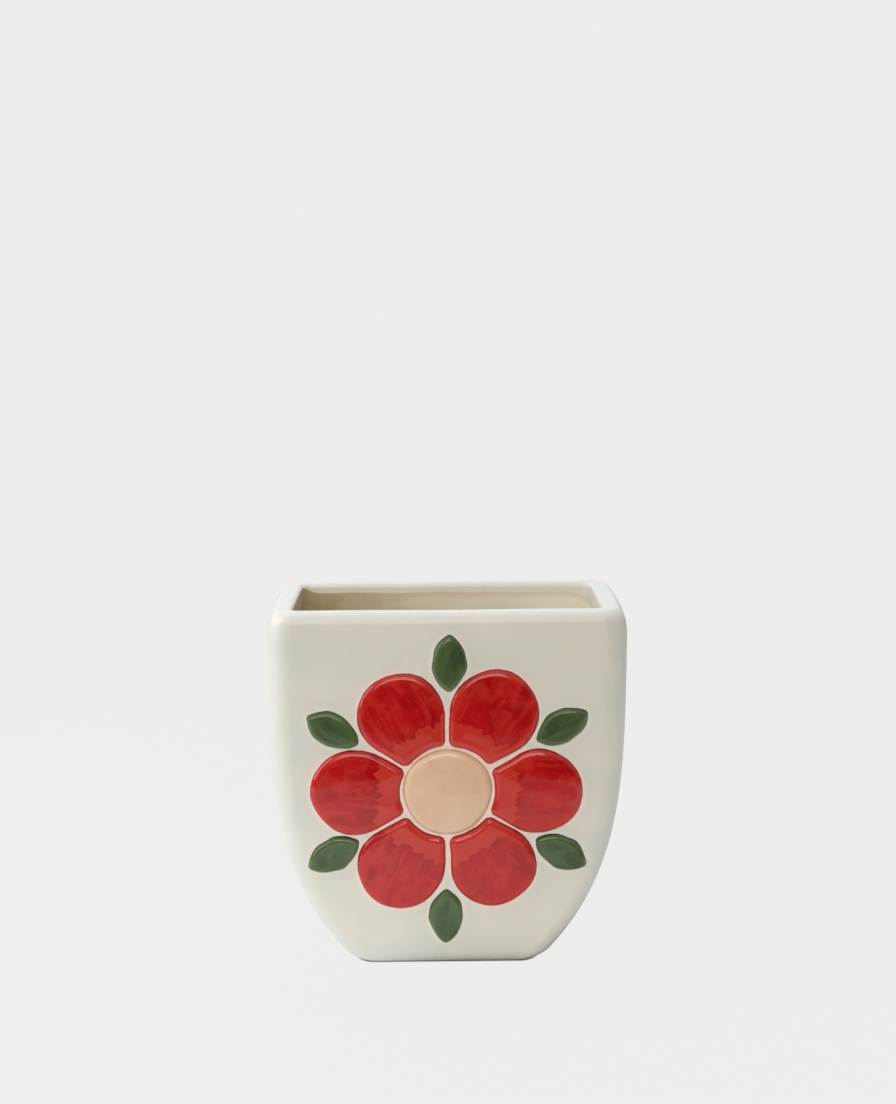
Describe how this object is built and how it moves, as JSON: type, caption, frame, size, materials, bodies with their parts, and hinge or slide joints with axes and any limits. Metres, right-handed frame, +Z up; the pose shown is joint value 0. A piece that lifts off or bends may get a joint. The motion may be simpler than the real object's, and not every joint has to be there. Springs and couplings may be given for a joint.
{
  "type": "ceramic vase",
  "caption": "Flat-sided ceramic vase with a wide rectangular mouth and a narrowed foot, and a raised glazed flower on its front.",
  "frame": {"origin": "under the middle of the object's box, on the surface that the foot stands on", "axes": "+Z up, towards the mouth; +X along the wide side; -Y out of the decorated front"},
  "size_m": [0.1544, 0.0794, 0.1552],
  "materials": {
    "ivory_glaze": "satin ivory glaze",
    "red_glaze": "glossy brushed red glaze",
    "peach_glaze": "glossy brushed peach glaze",
    "green_glaze": "glossy brushed green glaze"
  },
  "bodies": {
    "root": {"body": "ivory_glaze", "heart": "peach_glaze", "petal_1": "red_glaze", "petal_2": "red_glaze", "petal_3": "red_glaze", "petal_4": "red_glaze", "petal_5": "red_glaze", "petal_6": "red_glaze", "leaf_1": "green_glaze", "leaf_2": "green_glaze", "leaf_3": "green_glaze", "leaf_4": "green_glaze", "leaf_5": "green_glaze", "leaf_6": "green_glaze"}
  },
  "joints": []
}
